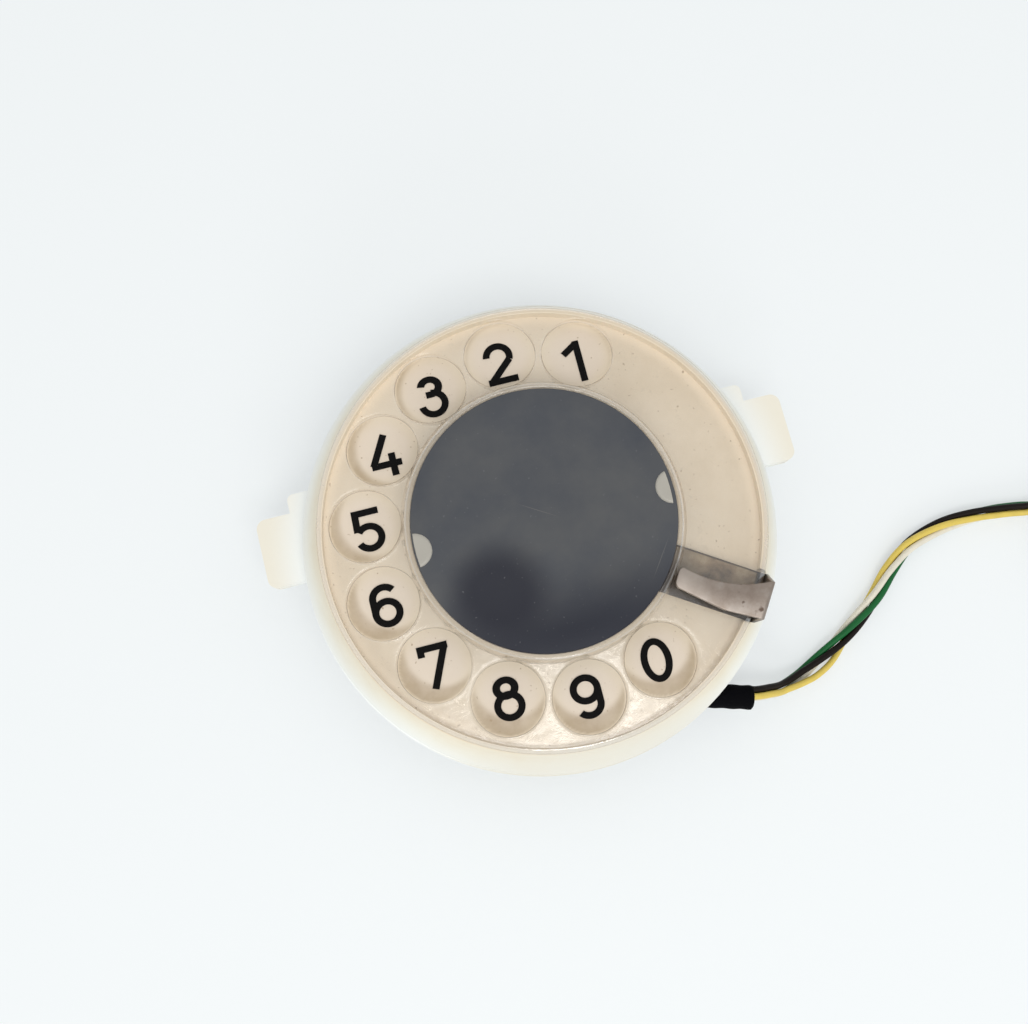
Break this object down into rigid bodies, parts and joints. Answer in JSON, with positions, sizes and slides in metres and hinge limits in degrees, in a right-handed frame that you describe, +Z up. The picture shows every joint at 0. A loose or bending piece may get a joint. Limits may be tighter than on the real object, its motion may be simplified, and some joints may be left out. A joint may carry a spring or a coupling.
{
  "type": "rotary dial unit",
  "caption": "Round telephone dial with a clear finger wheel over printed digits, a bent finger stop, an eared casing, a geared spring mechanism and a four-wire lead.",
  "frame": {"origin": "on the surface the unit rests on, under the dial's axis", "axes": "+Z up along the dial's axis, X through the two ears, the digits upright towards +Y"},
  "size_m": [0.1844, 0.0873, 0.0349],
  "materials": {
    "casing_plastic": "satin ivory moulded plastic, slightly translucent",
    "plate_enamel": "aged beige, satin, faint dirt specks",
    "print_black": "printed, matt black",
    "clear_acrylic": "clear polished plastic, slightly yellowed, fine scratches",
    "disc_plastic": "dark slate grey, worn gloss with fine scratches",
    "stainless": "satin stainless strip, stained",
    "bright_steel": "turned bright steel",
    "spring_steel": "blued spring steel",
    "plated_sheet": "zinc-plated sheet",
    "brass": "satin brass",
    "nickel_silver": "nickel silver contact strip",
    "nylon": "natural nylon",
    "phenolic": "brown phenolic laminate",
    "sleeve_rubber": "black rubber sleeve",
    "wire_white": "white PVC insulation",
    "wire_yellow": "yellow PVC insulation",
    "wire_green": "green PVC insulation",
    "wire_brown": "black-brown PVC insulation",
    "coil_mix": "four insulated wires wound together",
    "tinned_brass": "tinned fork terminal",
    "tie_nylon": "white nylon tie"
  },
  "bodies": {
    "base": {"casing": "casing_plastic", "number_plate": "plate_enamel", "numerals": "print_black", "finger_stop": "stainless", "finger_stop_screws": "bright_steel", "spindle_bush": "brass", "bridge_bush": "brass", "main_spring": "spring_steel", "spring_cup": "plated_sheet", "stop_pin": "bright_steel", "governor_cup": "plated_sheet", "rear_bridge": "plated_sheet", "pillars": "plated_sheet", "pillar_screws": "bright_steel", "bridge_nuts": "bright_steel", "contact_block": "phenolic", "contact_block_screws": "bright_steel", "solder_tags": "tinned_brass", "pulse_fixed_spring": "nickel_silver", "off_normal_fixed_spring": "nickel_silver", "lead_sleeve": "sleeve_rubber", "lead_clip": "plated_sheet", "lead_clip_screw": "bright_steel", "inner_wires": "wire_white", "wire_white": "wire_white", "wire_yellow": "wire_yellow", "wire_green": "wire_green", "wire_brown": "wire_brown", "lead_coil": "coil_mix", "coil_tie": "tie_nylon", "fork_terminals": "tinned_brass"},
    "dial": {"finger_wheel": "clear_acrylic", "centre_disc": "disc_plastic", "wheel_screw": "bright_steel", "wheel_washer": "bright_steel", "spindle": "bright_steel", "spring_arbor": "brass", "ratchet_wheel": "spring_steel", "off_normal_cam": "nylon", "stop_arm": "spring_steel"},
    "gear": {"main_gear": "brass", "gear_hub": "brass", "pawl_pivot": "bright_steel", "pawl_spring": "spring_steel"},
    "pawl_body": {"pawl": "spring_steel"},
    "intermediate": {"intermediate_shaft": "bright_steel", "intermediate_pinion": "brass", "intermediate_gear": "brass", "pulse_cam": "nylon"},
    "governor": {"governor_shaft": "bright_steel", "governor_pinion": "brass", "fly_bar": "plated_sheet", "weight_pivots": "bright_steel", "governor_springs": "spring_steel"},
    "weight_a": {"governor_weight_a": "brass"},
    "weight_b": {"governor_weight_b": "brass"},
    "pulse_leaf": {"pulse_moving_spring": "nickel_silver"},
    "off_normal_leaf": {"off_normal_moving_spring": "nickel_silver"}
  },
  "joints": [
    {"name": "dial_turn", "type": "hinge", "parent": "base", "child": "dial", "pos_m": [0, 0, 0.03], "axis": [0, 0, -1], "range_deg": [0, 318], "stiffness_Nm_per_rad": 0.004, "springref_deg": -34.38, "deforming": ["main_spring"]},
    {"name": "gear_turn", "type": "hinge", "parent": "base", "child": "gear", "pos_m": [0, 0, 0.0145], "axis": [0, 0, -1], "range_deg": [0, 318]},
    {"name": "intermediate_turn", "type": "hinge", "parent": "base", "child": "intermediate", "pos_m": [-0.0194, 0.0112, 0.01], "axis": [0, 0, -1], "continuous": true},
    {"name": "governor_turn", "type": "hinge", "parent": "base", "child": "governor", "pos_m": [-0.01248, 0.02651, 0.01], "axis": [0, 0, -1], "continuous": true},
    {"name": "weight_a_swing", "type": "hinge", "parent": "governor", "child": "weight_a", "pos_m": [-0.00768, 0.02651, 0.016], "axis": [0, 0, -1], "range_deg": [0, 8], "stiffness_Nm_per_rad": 0.00002},
    {"name": "weight_b_swing", "type": "hinge", "parent": "governor", "child": "weight_b", "pos_m": [-0.01728, 0.02651, 0.016], "axis": [0, 0, -1], "range_deg": [0, 8], "stiffness_Nm_per_rad": 0.00002},
    {"name": "pawl_lift", "type": "hinge", "parent": "gear", "child": "pawl_body", "pos_m": [-0.00106, -0.01215, 0.0122], "axis": [0, 0, 1], "range_deg": [0, 9], "stiffness_Nm_per_rad": 0.00002},
    {"name": "pulse_contact_flex", "type": "hinge", "parent": "base", "child": "pulse_leaf", "pos_m": [-0.02265, -0.019, 0.006], "axis": [0, 0, 1], "range_deg": [0, 2], "stiffness_Nm_per_rad": 0.005},
    {"name": "off_normal_contact_flex", "type": "hinge", "parent": "base", "child": "off_normal_leaf", "pos_m": [-0.00625, -0.019, 0.006], "axis": [0, 0, 1], "range_deg": [0, 2], "stiffness_Nm_per_rad": 0.005}
  ],
  "couplings": [
    {"joint": "gear_turn", "follows": "dial_turn", "ratio": 1},
    {"joint": "intermediate_turn", "follows": "dial_turn", "ratio": -7},
    {"joint": "governor_turn", "follows": "dial_turn", "ratio": 42},
    {"joint": "weight_b_swing", "follows": "weight_a_swing", "ratio": 1}
  ]
}
